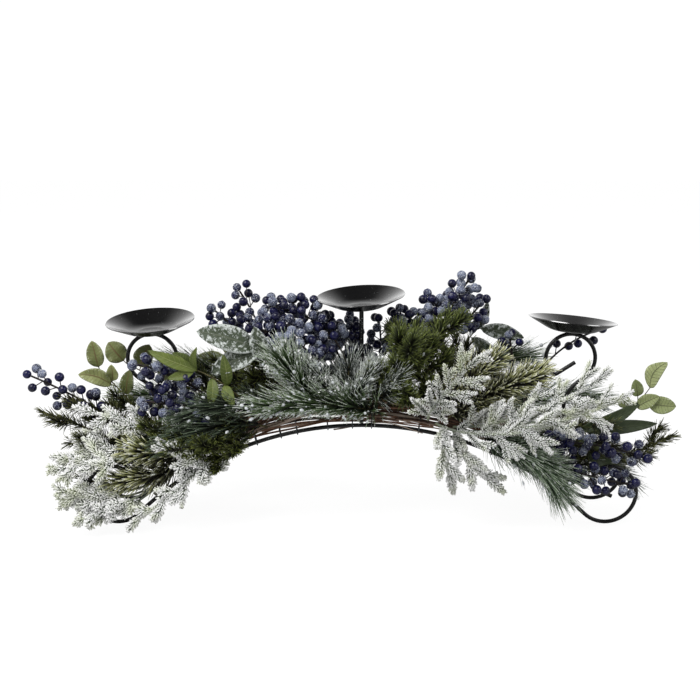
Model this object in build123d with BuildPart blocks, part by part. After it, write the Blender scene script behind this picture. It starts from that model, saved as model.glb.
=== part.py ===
"""Arched candle centrepiece: three dishes on a wire frame, dressed with vine and picks.

Millimetres, +Z up. The length runs along X, the front faces -Y, the table is Z = 0
and the origin is on the table under the middle candle dish.
"""

import math
import os

from build123d import *

# Wire frame
wire = 4.5
rod_gap = 90.0
arch_radius = 360.0
arch_rise = 115.0
foot_radius = 34.0
scroll_radius = 31.0
curl_radius = 20.0
nib_radius = 7.0
nib_turn = 66.0
nib_length = 21.0
crossbar_overhang = 4.0

# Candle stands
stand_reach = 237.5
ring_height = 182.0
ring_radius = 28.0
ring_curl_radius = 24.0
ring_curl_turn = 45.0
ring_bend_radius = 5.0
ring_bend_turn = 78.0
ring_stub = 24.0
neck_radius = 40.0
neck_turn = 60.0
post_diameter = 5.0
post_top = 240.0

# Candle dishes, pressed sheet
dish_radius = 50.0
seat_radius = 14.0
dish_bend = 36.0
dish_slope = 26.0
sheet = 1.0

# Grapevine and its binding wire
vine_diameter = 5.0
vine_gap = 0.4
root_gap = 0.6
outer_vine = 37.0
inner_vine = 18.0
binding_wire = 1.2

# Picks
stem_diameter = 2.2
twig_diameter = 1.2
berry_diameter = 10.5
leaf_sheet = 0.8
leaf_arch = 0.10
leaf_waist = 0.45
needle_thickness = 1.4
finger_diameter = 5.6
golden_turn = 137.5

wire_radius = wire / 2
rod_reach = rod_gap / 2
arch_centre = arch_rise - arch_radius
crossbar_radius = arch_radius + wire
facing_front = (0, -0.95, 0.3)
facing_back = (0, 0.95, 0.3)

os.makedirs("parts", exist_ok=True)


def hand_over(piece, name):
    piece.label = name
    export_step(piece, "parts/" + name + ".step")


# Two arch rods. Each is one length of wire: the arch, then a foot at both ends that turns
# up and rolls back on itself into a scroll, closed by a short straight nib.
arch_turn = math.degrees(
    math.acos((foot_radius + wire_radius - arch_centre) / (arch_radius + foot_radius))
)


def arch_rod(y):
    with BuildPart() as rod:
        with BuildLine(Plane.XZ.offset(-y)) as path:
            arch = JernArc((0, arch_rise), (1, 0), arch_radius, -arch_turn)
            foot = JernArc(arch @ 1, arch % 1, foot_radius, arch_turn + 90)
            scroll = JernArc(foot @ 1, foot % 1, scroll_radius, 90)
            curl = JernArc(scroll @ 1, scroll % 1, curl_radius, 90)
            nib = JernArc(curl @ 1, curl % 1, nib_radius, nib_turn)
            Line(nib @ 1, nib @ 1 + (nib % 1) * nib_length)
        with BuildSketch(Plane(origin=(0, y, arch_rise), z_dir=(1, 0, 0))):
            Circle(wire_radius)
        sweep(path=path.wires()[0])
        mirror(about=Plane.YZ)
    return rod.part


front_arch_rod = arch_rod(-rod_reach)
back_arch_rod = arch_rod(rod_reach)
hand_over(front_arch_rod, "front_arch_rod")
hand_over(back_arch_rod, "back_arch_rod")


# Three crossbars lie across the rods, one under each candle stand.
def on_arch(x, radius):
    return arch_centre + math.sqrt(radius ** 2 - x ** 2)


def crossbar(x):
    with BuildPart() as bar:
        with BuildSketch(Plane.XZ):
            with Locations((x, on_arch(x, crossbar_radius))):
                Circle(wire_radius)
        extrude(amount=rod_reach + crossbar_overhang, both=True)
    return bar.part


neck = math.radians(neck_turn)
leg_reach = stand_reach + ring_radius * math.cos(neck) - neck_radius * (1 - math.cos(neck))
neck_start = ring_height - (ring_radius + neck_radius) * math.sin(neck)
centre_crossbar = crossbar(0)
left_crossbar = crossbar(-leg_reach)
right_crossbar = crossbar(leg_reach)
hand_over(centre_crossbar, "centre_crossbar")
hand_over(left_crossbar, "left_crossbar")
hand_over(right_crossbar, "right_crossbar")

# Each dish leans a little, as the hand-welded ones do. A seat is the plane under a dish,
# and a side seat rests on top of its ring.
def side_seat(x, lean_x, lean_y):
    upward = Vector(lean_x, lean_y, 1).normalized()
    rest = ring_radius * math.hypot(upward.X, upward.Z) + wire_radius
    return Plane(
        origin=(x, 0, ring_height + rest / upward.Z), x_dir=(1, 0, -lean_x), z_dir=upward
    )


left_seat = side_seat(-stand_reach, -0.05, -0.115)
right_seat = side_seat(stand_reach, 0.095, 0.06)
centre_seat = Plane(origin=(0, 0, post_top), x_dir=(1, 0, 0.06), z_dir=(-0.06, -0.09, 1))

# The middle post is a straight rod, coped over its crossbar and cut off under the dish.
with BuildPart() as centre_post:
    with BuildSketch(Plane.XY.offset(on_arch(0, crossbar_radius))):
        Circle(post_diameter / 2)
    extrude(amount=post_top)
    split(bisect_by=centre_seat, keep=Keep.BOTTOM)
    add(centre_crossbar, mode=Mode.SUBTRACT)
hand_over(centre_post.part, "centre_post")

# A side stand is one wire: a leg coped over the crossbar, a swan neck, a ring that carries
# the dish on its top, and an inner end cut off inside the ring.
with BuildPart() as right_scroll_stand:
    with BuildLine(Plane.XZ) as path:
        leg = Line((leg_reach, on_arch(leg_reach, crossbar_radius)), (leg_reach, neck_start))
        turn_out = JernArc(leg @ 1, leg % 1, neck_radius, -neck_turn)
        ring = JernArc(turn_out @ 1, turn_out % 1, ring_radius, 180 + neck_turn)
        curl = JernArc(ring @ 1, ring % 1, ring_curl_radius, ring_curl_turn)
        bend = JernArc(curl @ 1, curl % 1, ring_bend_radius, ring_bend_turn)
        Line(bend @ 1, bend @ 1 + (bend % 1) * ring_stub)
    with BuildSketch(Plane.XY.offset(on_arch(leg_reach, crossbar_radius))):
        with Locations((leg_reach, 0)):
            Circle(wire_radius)
    sweep(path=path.wires()[0])
    add(right_crossbar, mode=Mode.SUBTRACT)
hand_over(right_scroll_stand.part, "right_scroll_stand")

with BuildPart() as left_scroll_stand:
    add(right_scroll_stand.part)
    mirror(about=Plane.YZ, mode=Mode.REPLACE)
hand_over(left_scroll_stand.part, "left_scroll_stand")


# A dish is one pressing: a flat seat for the candle, a bend, a straight flare and a thin rim.
def candle_dish(seat):
    bend_run = seat_radius + dish_bend * math.sin(math.radians(dish_slope))
    flare = (dish_radius - bend_run) / math.cos(math.radians(dish_slope))
    with BuildPart() as dish:
        with BuildSketch(Plane(origin=seat.origin, x_dir=seat.x_dir, z_dir=-seat.y_dir)):
            with BuildLine():
                under = Line((0, 0), (seat_radius, 0))
                under_bend = JernArc(under @ 1, (1, 0), dish_bend, dish_slope)
                under_flare = PolarLine(under_bend @ 1, flare, dish_slope)
                over = Line((0, sheet), (seat_radius, sheet))
                over_bend = JernArc(over @ 1, (1, 0), dish_bend - sheet, dish_slope)
                over_flare = PolarLine(over_bend @ 1, flare, dish_slope)
                Line(under_flare @ 1, over_flare @ 1)
                Line(under @ 0, over @ 0)
            make_face()
        revolve(axis=Axis(seat.origin, seat.z_dir))
    return dish.part


hand_over(candle_dish(left_seat), "left_candle_dish")
hand_over(candle_dish(centre_seat), "centre_candle_dish")
hand_over(candle_dish(right_seat), "right_candle_dish")

# Grapevine strands lie along the frame in layers, on top of the crossbars. A strand is given
# by its layer, then the turn along the arch and the depth at its left end, middle and right end.
first_layer = crossbar_radius + wire_radius + vine_diameter / 2 + vine_gap
layer_step = vine_diameter + vine_gap
strands = {
    1: (0, -38.0, -outer_vine, -outer_vine, 37.0, -outer_vine),
    2: (0, -35.0, -inner_vine, -inner_vine, 38.5, -inner_vine),
    3: (0, -37.0, inner_vine, inner_vine, 36.0, inner_vine),
    4: (0, -36.0, outer_vine, outer_vine, 37.5, outer_vine),
    5: (1, -37.0, -34.0, -26.0, 35.0, -36.0),
    6: (1, -34.0, inner_vine, 32.0, 37.0, inner_vine),
    7: (2, -30.0, -24.0, -38.0, 31.0, -22.0),
    8: (2, -31.0, 36.0, 22.0, 30.0, 34.0),
}


def strand_spine(number):
    layer, left_turn, left_y, middle_y, right_turn, right_y = strands[number]
    radius = first_layer + layer * layer_step
    left = math.radians(left_turn)
    right = math.radians(right_turn)
    return ThreePointArc(
        (radius * math.sin(left), left_y, arch_centre + radius * math.cos(left)),
        (0, middle_y, arch_centre + radius),
        (radius * math.sin(right), right_y, arch_centre + radius * math.cos(right)),
    )


for number in strands:
    with BuildPart() as vine:
        with BuildLine() as path:
            strand_spine(number)
        with BuildSketch(path.line ^ 0):
            Circle(vine_diameter / 2)
        sweep()
    hand_over(vine.part, "vine_strand_" + str(number))

# Thin binding wire ties each rod to the vine strand beside it.
tie_radius = (max(wire, vine_diameter) + binding_wire + vine_gap) / 2
tie_turns = [-19.0, -14.5, -11.5, -6.0, -1.6, 1.8, 10.2, 17.0, 24.0]
with BuildPart() as binding_wires:
    for side in (-1, 1):
        across = Vector(0, side * (outer_vine - rod_reach), first_layer - arch_radius)
        for turn in tie_turns:
            tilt = math.radians(turn)
            along = Vector(math.cos(tilt), 0, -math.sin(tilt))
            outward = Vector(math.sin(tilt), 0, math.cos(tilt))
            middle = Vector(0, side * rod_reach, arch_centre) + outward * arch_radius
            to_vine = Vector(0, across.Y, 0) + outward * across.Z
            with BuildLine(Plane(origin=middle, x_dir=to_vine, z_dir=along)) as loop:
                Line((0, tie_radius), (across.length, tie_radius))
                CenterArc((across.length, 0), tie_radius, 90, -180)
                Line((across.length, -tie_radius), (0, -tie_radius))
                CenterArc((0, 0), tie_radius, -90, -180)
            ring_wire = loop.wires()[0]
            with BuildSketch(Plane(origin=ring_wire @ 0, z_dir=ring_wire % 0)):
                Circle(binding_wire / 2)
            sweep(path=ring_wire)
hand_over(binding_wires.part, "binding_wires")


# Every pick is pushed against a vine strand and grows along an arc. It is given by its strand,
# the turn along the arch where it roots, and its bend and tip measured from there.
def grow(number, turn, bend, tip):
    layer, left_turn, left_y, middle_y, right_turn, right_y = strands[number]
    spot = strand_spine(number) @ ((turn - left_turn) / (right_turn - left_turn))
    root = spot + Vector(*bend).normalized() * (vine_diameter / 2 + root_gap)
    return ThreePointArc(root, spot + Vector(*bend), spot + Vector(*tip))


def stem_along(spine, diameter):
    with BuildPart() as stem:
        with BuildLine() as path:
            add(spine)
        with BuildSketch(path.line ^ 0):
            Circle(diameter / 2)
        sweep()
    return stem.part


def around(spine, first, count, lean, turn):
    """Planes set round a stem in a spiral, leaning forward; z is the way a unit grows."""
    seats = []
    for step in range(count):
        place = first + (0.97 - first) * (step + 0.5) / count
        heading = spine % place
        sideways = heading.cross(Vector(0, 0, 1)).normalized()
        upright = sideways.cross(heading)
        spin = math.radians(turn + step * golden_turn)
        out = sideways * math.cos(spin) + upright * math.sin(spin)
        slant = math.radians(lean)
        way = heading * math.cos(slant) + out * math.sin(slant)
        seats.append(Plane(origin=spine @ place, z_dir=way))
    return seats


# Berry picks: a thin stem with spiral twigs and one round berry on the end of each. A branch
# is its arc, its number of twigs and the share of the arc that is bare.
def berry_pick(name, branches, lean, twig):
    with BuildPart() as one_twig:
        with BuildSketch():
            Circle(twig_diameter / 2)
        extrude(amount=twig)
    seats = []
    ends = []
    for spine, count, bare in branches:
        seats += around(spine, bare, count, lean, 70 * len(ends))
        ends.append(spine @ 1 + (spine % 1) * (berry_diameter / 2))
    with BuildPart() as stems:
        for spine, count, bare in branches:
            add(stem_along(spine, stem_diameter))
        with Locations(*[Location(seat) for seat in seats]):
            add(one_twig.part)
    with BuildPart() as berries:
        with Locations(*[seat.origin + seat.z_dir * (twig + berry_diameter / 2) for seat in seats]):
            Sphere(berry_diameter / 2)
        with Locations(*ends):
            Sphere(berry_diameter / 2)
    hand_over(stems.part, name + "_berry_stems")
    hand_over(berries.part, name + "_berries")


berry_pick("far_left", [(grow(1, -33.3, (-89, -3, 67), (-164, 1, 105)), 17, 0.48)], 55, 9.0)
berry_pick("left", [
    (grow(7, -22, (-47, -26, 57), (-104, -18, 77)), 18, 0.42),
    (grow(1, -24, (-43, -35, 47), (-85, -33, 55)), 16, 0.42),
], 60, 8.0)
berry_pick("centre", [
    (grow(7, -4, (-41, 0, 70), (-103, 12, 84)), 34, 0.36),
    (grow(7, -2, (-39, 28, 91), (-90, 36, 104)), 30, 0.46),
    (grow(8, -16, (-12, -8, 94), (-33, -12, 136)), 5, 0.72),
    (grow(8, -19, (-26, 3, 100), (-44, 1, 117)), 5, 0.74),
], 72, 9.0)
berry_pick("right_centre", [
    (grow(8, -2, (-5, 12, 55), (-1, 10, 87)), 6, 0.56),
    (grow(8, 2, (9, 14, 55), (7, 10, 83)), 6, 0.56),
    (grow(8, 7, (2, -1, 67), (-2, -3, 99)), 7, 0.56),
    (grow(8, 10, (26, -5, 85), (55, -9, 140)), 13, 0.56),
    (grow(8, 13, (32, 14, 86), (55, 18, 114)), 8, 0.66),
], 55, 8.0)
berry_pick("right_stand", [
    (grow(6, 25, (17, 10, 75), (13, 8, 103)), 4, 0.80),
    (grow(6, 29, (44, 23, 93), (94, 23, 123)), 6, 0.62),
], 48, 9.0)
berry_pick("lower_right", [
    (grow(1, 26, (80, -35, 14), (149, -31, -3)), 22, 0.28),
    (grow(1, 29, (56, -41, -8), (115, -35, -24)), 18, 0.28),
], 62, 8.0)


# Leaf picks: stems with pointed, arched leaves. A leaf is given by its place along the stem,
# the way from its root to its tip, and its width.
def leaf_pick(name, branches, facing):
    placed = []
    for spine, leaves in branches:
        for place, reach, width in leaves:
            length = Vector(*reach).length
            rise = leaf_arch * length
            with BuildPart() as leaf:
                with BuildSketch(Plane.XZ):
                    with BuildLine():
                        over = ThreePointArc((0, 0), (length / 2, rise), (length, 0))
                        under = ThreePointArc(
                            (0, -leaf_sheet), (length / 2, rise - leaf_sheet), (length, -leaf_sheet)
                        )
                        Line(over @ 0, under @ 0)
                        Line(over @ 1, under @ 1)
                    make_face()
                extrude(amount=width, both=True)
                with BuildSketch(Plane.XY.offset(-length)):
                    with BuildLine():
                        ThreePointArc((0, 0), (leaf_waist * length, width / 2), (length, 0))
                        ThreePointArc((0, 0), (leaf_waist * length, -width / 2), (length, 0))
                    make_face()
                extrude(amount=2 * length, mode=Mode.INTERSECT)
            heading = Vector(*reach).normalized()
            outward = heading.cross(Vector(*facing).cross(heading))
            placed.append((leaf.part, Plane(spine @ place, x_dir=heading, z_dir=outward)))
    with BuildPart() as pick:
        for spine, leaves in branches:
            add(stem_along(spine, stem_diameter))
        for leaf_part, seat in placed:
            with Locations(Location(seat)):
                add(leaf_part)
    hand_over(pick.part, name + "_leaf_pick")


leaf_pick("left", [
    (grow(1, -34, (-58, 17, 79), (-88, 21, 110)), [
        (1.0, (-7, -2, 34), 17.0),
        (0.86, (1, -7, 22), 12.0),
        (0.82, (-40, -8, 15), 16.0),
        (0.70, (6, -4, 32), 14.0),
    ]),
    (grow(6, -30, (-50, 1, 70), (-84, 1, 92)), [
        (1.0, (-20, 2, 24), 22.0),
        (0.86, (12, 2, 30), 20.0),
        (0.66, (28, 2, 34), 20.0),
    ]),
], facing_front)
leaf_pick("ruscus", [
    (grow(1, -18, (-41, -29, 63), (-68, -31, 77)), [
        (1.0, (-22, -4, 19), 13.0),
        (0.97, (2, -8, 27), 8.0),
        (0.98, (-30, -8, -8), 11.0),
        (0.94, (-54, -6, 24), 14.0),
        (0.80, (-2, -12, -29), 13.0),
        (0.66, (12, -16, -20), 13.0),
        (0.62, (-3, -8, 38), 13.0),
    ]),
], facing_front)
leaf_pick("frosted", [
    (grow(5, -13, (-12, -25, 60), (-28, -33, 84)), [
        (1.0, (-66, -4, 20), 22.0),
        (0.96, (-54, -4, -24), 18.0),
        (0.80, (-14, -10, 40), 16.0),
    ]),
], facing_front)
leaf_pick("right", [
    (grow(2, 37, (68, 4, 62), (96, 6, 88)), [
        (1.0, (26, -2, 42), 14.0),
        (0.95, (-6, -8, 28), 11.0),
        (0.84, (-10, -10, 22), 11.0),
        (0.93, (44, -6, -2), 15.0),
        (0.82, (34, -8, 20), 12.0),
    ]),
], facing_front)
leaf_pick("dark", [
    (grow(2, 34, (19, -6, 31), (39, -8, 42)), [
        (1.0, (88, -2, 9), 16.0),
        (0.90, (76, 8, 34), 15.0),
        (0.92, (60, 2, -50), 19.0),
    ]),
], facing_front)
leaf_pick("right_grey", [
    (grow(6, 17, (12, 24, 76), (28, 32, 92)), [
        (1.0, (54, 2, -12), 19.0),
        (0.95, (14, -2, 36), 12.0),
        (0.86, (34, 4, -26), 16.0),
    ]),
], facing_front)
leaf_pick("back", [
    (grow(4, -13, (-37, 35, 35), (-77, 41, 51)), [
        (1.0, (-46, 6, -6), 18.0),
        (0.90, (-20, 8, 34), 16.0),
        (0.75, (-6, 12, 36), 16.0),
        (0.85, (-12, 12, -32), 16.0),
        (0.60, (0, 14, -30), 16.0),
    ]),
], facing_back)


# Needle boughs: slim three-sided needles fused to the stem, in a forward-leaning spiral.
def needle_bough(name, spines, count, needle, lean, bare):
    with BuildPart() as one_needle:
        with BuildSketch():
            RegularPolygon(needle_thickness / 2, 3)
        extrude(amount=needle, taper=0.5 * math.degrees(math.atan(needle_thickness / 2 / needle)))
    seats = []
    for number, spine in enumerate(spines):
        seats += around(spine, bare, count, lean, 50 * number)
    with BuildPart() as bough:
        for spine in spines:
            add(stem_along(spine, stem_diameter))
        with Locations(*[Location(seat) for seat in seats]):
            add(one_needle.part)
    hand_over(bough.part, name)


needle_bough("far_left_fir", [
    grow(1, -36.2, (-83, -13, 58), (-133, -15, 77)),
    grow(1, -34.7, (-80, -23, 38), (-110, -31, 42)),
    grow(1, -35.5, (-81, -5, 77), (-115, 1, 87)),
], 11, 13.0, 52, 0.45)
needle_bough("left_fir", [
    grow(1, -20.5, (-63, -29, 7), (-126, -29, 2)),
    grow(1, -21.7, (-15, -29, -15), (-35, -33, -34)),
    grow(1, -18, (-50, -46, -10), (-98, -48, -13)),
], 14, 16.0, 52, 0.2)
needle_bough("upright_fir", [
    grow(7, 7, (-1, -7, 48), (-5, 9, 91)),
    grow(7, 10, (12, 8, 62), (32, 20, 104)),
    grow(7, 8.5, (-10, -15, 46), (12, -7, 82)),
], 15, 14.0, 54, 0.12)
needle_bough("right_fir", [grow(2, 38, (82, 4, 28), (126, 6, 47))], 14, 16.0, 46, 0.45)
needle_bough("left_pine_tips", [
    grow(1, -29, (-47, -37, -12), (-83, -39, -18)),
    grow(1, -28, (-42, -35, 7), (-74, -37, 13)),
], 14, 38.0, 26, 0.4)
needle_bough("left_pine", [
    grow(1, -16, (-58, -40, 12), (-103, -50, 0)),
    grow(1, -13, (-58, -35, 29), (-102, -47, 21)),
], 18, 44.0, 30, 0.15)
needle_bough("centre_pine", [
    grow(1, 5, (-72, -43, 23), (-132, -47, 20)),
    grow(7, -9, (-4, -22, 26), (-22, -28, 58)),
], 28, 44.0, 46, 0.12)
needle_bough("post_pine", [
    grow(7, -3, (20, -22, 29), (30, -20, 45)),
    grow(7, -6, (-4, -26, 37), (-18, -24, 51)),
], 12, 34.0, 30, 0.15)
needle_bough("right_pine_tips", [
    grow(7, 13, (36, -27, 46), (60, -23, 66)),
    grow(7, 15.5, (44, -34, 37), (84, -32, 49)),
    grow(7, 17, (53, -27, 49), (84, -23, 59)),
    grow(1, 14, (30, -22, 24), (56, -24, 26)),
], 12, 30.0, 44, 0.3)
needle_bough("lower_right_pine", [
    grow(1, 22, (42, -43, -6), (70, -55, -38)),
    grow(1, 20, (38, -41, -5), (86, -45, -29)),
], 20, 44.0, 26, 0.15)
needle_bough("foot_pine", [
    grow(2, 35.5, (76, -4, 4), (94, -6, -12)),
    grow(2, 34, (62, 8, 22), (102, 6, 8)),
], 10, 26.0, 32, 0.4)
needle_bough("back_left_pine", [
    grow(4, -8, (-59, 35, 11), (-119, 43, -9)),
    grow(4, -15, (-69, 21, 38), (-126, 25, 51)),
    grow(4, -22, (-77, 25, 20), (-130, 25, 26)),
], 18, 44.0, 32, 0.15)
needle_bough("back_right_pine", [
    grow(4, 8, (59, 35, 11), (119, 43, -9)),
    grow(4, 12, (53, 21, 43), (111, 23, 55)),
    grow(4, 22, (74, 25, 24), (126, 23, 24)),
], 18, 44.0, 32, 0.15)


# Flocked cedar sprigs: round soft fingers in a flat fan on both sides of the stem.
def cedar_sprig(name, spines, facing, count, finger, lean, bare):
    with BuildPart() as one_finger:
        with BuildSketch(Plane.XZ):
            with BuildLine():
                root = Line((0, 0), (stem_diameter / 2, 0))
                swell = Line(root @ 1, (finger_diameter / 2, 0.3 * finger))
                thin = Line(swell @ 1, (0.36 * finger_diameter, 0.93 * finger))
                Polyline(thin @ 1, (0.18 * finger_diameter, finger), (0, finger), (0, 0))
            make_face()
        revolve(axis=Axis.Z)
    seats = []
    for spine in spines:
        for step in range(count):
            place = bare + (1 - bare) * step / (count - 1)
            heading = spine % place
            sideways = heading.cross(Vector(*facing)).normalized()
            swing = math.radians(lean if step % 2 else -lean)
            if step == count - 1:
                swing = 0
            way = heading * math.cos(swing) + sideways * math.sin(swing)
            seats.append(Plane(origin=spine @ place, z_dir=way))
    with BuildPart() as sprig:
        for spine in spines:
            add(stem_along(spine, stem_diameter))
        with Locations(*[Location(seat) for seat in seats]):
            add(one_finger.part)
    hand_over(sprig.part, name)


cedar_sprig("left_cedar", [
    grow(1, -32.5, (-77, -35, 29), (-125, -35, 21)),
    grow(1, -31.8, (-62, -29, 54), (-94, -35, 66)),
    grow(1, -29.4, (-86, -45, 9), (-140, -51, 1)),
], facing_front, 9, 26.0, 40, 0.4)
cedar_sprig("foot_cedar", [
    grow(1, -35.4, (-56, -44, -10), (-96, -46, -14)),
    grow(1, -37.0, (-38, -48, -20), (-60, -52, -30)),
    grow(1, -34.2, (-81, -49, -18), (-112, -55, -10)),
    grow(1, -36.2, (-60, -58, -22), (-84, -60, -30)),
], facing_front, 8, 22.0, 40, 0.35)
cedar_sprig("hanging_left_cedar", [
    grow(1, -26, (-38, -59, -31), (-78, -67, -61)),
    grow(1, -27, (-20, -57, 2), (-36, -59, 12)),
], facing_front, 8, 22.0, 40, 0.35)
cedar_sprig("right_cedar", [
    grow(1, 12.5, (70, -59, 2), (152, -59, 22)),
    grow(1, 11.5, (18, -53, 47), (38, -57, 71)),
    grow(1, 15.8, (86, -62, 34), (144, -56, 60)),
    grow(1, 17, (88, -72, 24), (158, -64, 44)),
], facing_front, 13, 32.0, 42, 0.2)
cedar_sprig("hanging_cedar", [
    grow(1, 16.0, (12, -34, -24), (36, -40, -48)),
    grow(1, 14.4, (-2, -36, -14), (4, -42, -44)),
], facing_front, 10, 24.0, 40, 0.3)
cedar_sprig("back_left_cedar", [
    grow(4, -20, (-64, 53, -14), (-136, 55, -36)),
], facing_back, 12, 34.0, 40, 0.25)
cedar_sprig("back_right_cedar", [
    grow(4, 20, (64, 53, -14), (136, 55, -36)),
], facing_back, 12, 34.0, 40, 0.25)
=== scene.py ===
import math

import bpy
import numpy as np
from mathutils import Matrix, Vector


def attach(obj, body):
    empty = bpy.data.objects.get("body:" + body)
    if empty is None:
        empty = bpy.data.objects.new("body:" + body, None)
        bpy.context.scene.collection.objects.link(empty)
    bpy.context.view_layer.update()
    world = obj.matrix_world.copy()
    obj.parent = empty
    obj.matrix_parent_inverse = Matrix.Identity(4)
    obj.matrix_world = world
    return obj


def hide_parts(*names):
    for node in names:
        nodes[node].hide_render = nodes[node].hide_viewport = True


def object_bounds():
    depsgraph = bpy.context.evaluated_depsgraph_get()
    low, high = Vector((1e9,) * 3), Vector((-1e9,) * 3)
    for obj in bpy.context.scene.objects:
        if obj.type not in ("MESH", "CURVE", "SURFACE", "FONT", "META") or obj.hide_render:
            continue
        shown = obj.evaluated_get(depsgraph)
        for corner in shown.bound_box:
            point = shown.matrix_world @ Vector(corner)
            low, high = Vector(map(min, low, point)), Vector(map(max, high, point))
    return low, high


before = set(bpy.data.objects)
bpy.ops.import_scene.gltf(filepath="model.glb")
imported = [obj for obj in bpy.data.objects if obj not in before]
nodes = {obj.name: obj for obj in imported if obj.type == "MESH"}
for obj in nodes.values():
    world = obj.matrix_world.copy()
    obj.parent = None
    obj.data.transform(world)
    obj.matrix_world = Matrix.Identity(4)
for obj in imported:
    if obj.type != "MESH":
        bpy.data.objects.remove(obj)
cad_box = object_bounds()

# The wire frame: two arch rods with scroll feet, three crossbars, the middle post and the two
# ring stands. Steel wire, bent and welded, dipped in black enamel that pooled a little unevenly
# and caught specks of the white frost spray.
speck_scale = 700.0
speck_edge = 0.76
speck_blur = 0.015
ripple_scale = 380.0
ripple_depth = 0.0002


def paint(red, green, blue):
    """A colour as seen on screen, 0 to 255, turned into the shader's linear values."""
    shares = [c / 255 for c in (red, green, blue)]
    return tuple(c / 12.92 if c < 0.04 else ((c + 0.055) / 1.055) ** 2.4 for c in shares) + (1.0,)


def new_material(name):
    material = bpy.data.materials.new(name)
    material.use_nodes = True
    shader = material.node_tree.nodes["Principled BSDF"]
    return material, material.node_tree, shader


def add_node(tree, kind, **values):
    node = tree.nodes.new(kind)
    for key, value in values.items():
        if key in node.inputs:
            node.inputs[key].default_value = value
        else:
            setattr(node, key, value)
    return node


def object_noise(tree, scale, detail=2.0, roughness=0.5):
    place = add_node(tree, "ShaderNodeTexCoord")
    noise = add_node(tree, "ShaderNodeTexNoise", Scale=scale, Detail=detail, Roughness=roughness)
    tree.links.new(place.outputs["Object"], noise.inputs["Vector"])
    return noise.outputs["Fac"]


def ramp(tree, factor, *stops):
    """A colour ramp on a factor; each stop is a place and a colour or a grey value."""
    node = add_node(tree, "ShaderNodeValToRGB")
    ends = node.color_ramp.elements
    while len(ends) < len(stops):
        ends.new(0.5)
    for element, (place, colour) in zip(ends, stops):
        element.position = place
        element.color = colour if isinstance(colour, tuple) else (colour, colour, colour, 1.0)
    tree.links.new(factor, node.inputs["Fac"])
    return node.outputs["Color"]


def blend_colours(tree, factor, first, second):
    node = add_node(tree, "ShaderNodeMix", data_type="RGBA")
    for key, value in (("Factor", factor), ("A", first), ("B", second)):
        if isinstance(value, bpy.types.NodeSocket):
            tree.links.new(value, node.inputs[key])
        else:
            node.inputs[key].default_value = value
    return node.outputs["Result"]


def add_bump(tree, shader, height, depth, strength=1.0):
    bump = add_node(tree, "ShaderNodeBump", Strength=strength, Distance=depth)
    tree.links.new(height, bump.inputs["Height"])
    tree.links.new(bump.outputs["Normal"], shader.inputs["Normal"])


def black_enamel(name, gloss, specks, ripple):
    """Black enamel with white specks and a rippled skin, and the nodes that make it."""
    material, tree, shader = new_material(name)
    edge = speck_edge - specks
    dots = ramp(tree, object_noise(tree, speck_scale, 1.0), (edge, 0.0), (edge + speck_blur, 1.0))
    speckled = blend_colours(tree, dots, paint(8, 8, 9), paint(190, 194, 194))
    tree.links.new(speckled, shader.inputs["Base Color"])
    shader.inputs["Roughness"].default_value = gloss
    add_bump(tree, shader, object_noise(tree, ripple_scale), ripple_depth, ripple)
    return material, tree, shader


def dress(node_name, material):
    slots = nodes[node_name].data.materials
    slots.clear()
    slots.append(material)


wire_enamel = black_enamel("wire_enamel", gloss=0.32, specks=0.03, ripple=0.3)[0]
for name in (
    "front_arch_rod", "back_arch_rod", "centre_crossbar", "left_crossbar", "right_crossbar",
    "centre_post", "left_scroll_stand", "right_scroll_stand",
):
    dress(name, wire_enamel)

# The candle dishes: thin pressed sheet under the same enamel. Inside it lies thick and glossy
# and carries the grey sweep of the surroundings; the underside is thinly coated and dull.
dish_enamel, tree, shader = black_enamel("dish_enamel", gloss=0.22, specks=-0.01, ripple=0.02)
facing = add_node(tree, "ShaderNodeTexCoord")
apart = add_node(tree, "ShaderNodeSeparateXYZ")
tree.links.new(facing.outputs["Normal"], apart.inputs["Vector"])
inside = ramp(tree, apart.outputs["Z"], (0.02, 0.05), (0.2, 1.0))
tree.links.new(inside, shader.inputs["Specular IOR Level"])
tree.links.new(inside, shader.inputs["Coat Weight"])
shader.inputs["Coat IOR"].default_value = 2.1
shader.inputs["Coat Roughness"].default_value = 0.16
for name in ("left_candle_dish", "centre_candle_dish", "right_candle_dish"):
    dress(name, dish_enamel)

# The grapevine: thin brown canes laid along the rods, four to each strand, twisting round one
# another with knots, cut ends and flaking bark. A few loose ones sag under the front strand.
mm = 0.001
scene = bpy.context.scene
wire = 4.5 * mm
arch_radius = 360.0 * mm
arch_centre = -245.0 * mm
vine_diameter = 5.0 * mm
vine_gap = 0.4 * mm
root_gap = 0.6 * mm
side_room = 4.0 * mm
table_room = 3.0 * mm
outer_vine = 37.0
inner_vine = 18.0
# Each strand has its layer, its turn and depth at the left end, its depth in the middle, and its
# turn and depth at the right end, in degrees and millimetres.
strands = {
    1: (0, (-38.0, -outer_vine), -outer_vine, (37.0, -outer_vine)),
    2: (0, (-35.0, -inner_vine), -inner_vine, (38.5, -inner_vine)),
    3: (0, (-37.0, inner_vine), inner_vine, (36.0, inner_vine)),
    4: (0, (-36.0, outer_vine), outer_vine, (37.5, outer_vine)),
    5: (1, (-37.0, -34.0), -26.0, (35.0, -36.0)),
    6: (1, (-34.0, inner_vine), 32.0, (37.0, inner_vine)),
    7: (2, (-30.0, -24.0), -38.0, (31.0, -22.0)),
    8: (2, (-31.0, 36.0), 22.0, (30.0, 34.0)),
}
# A direction that no cane or stem sets out along, from which the first ring of a tube is turned.
tube_start = (0.31, 0.23, 0.92)


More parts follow.
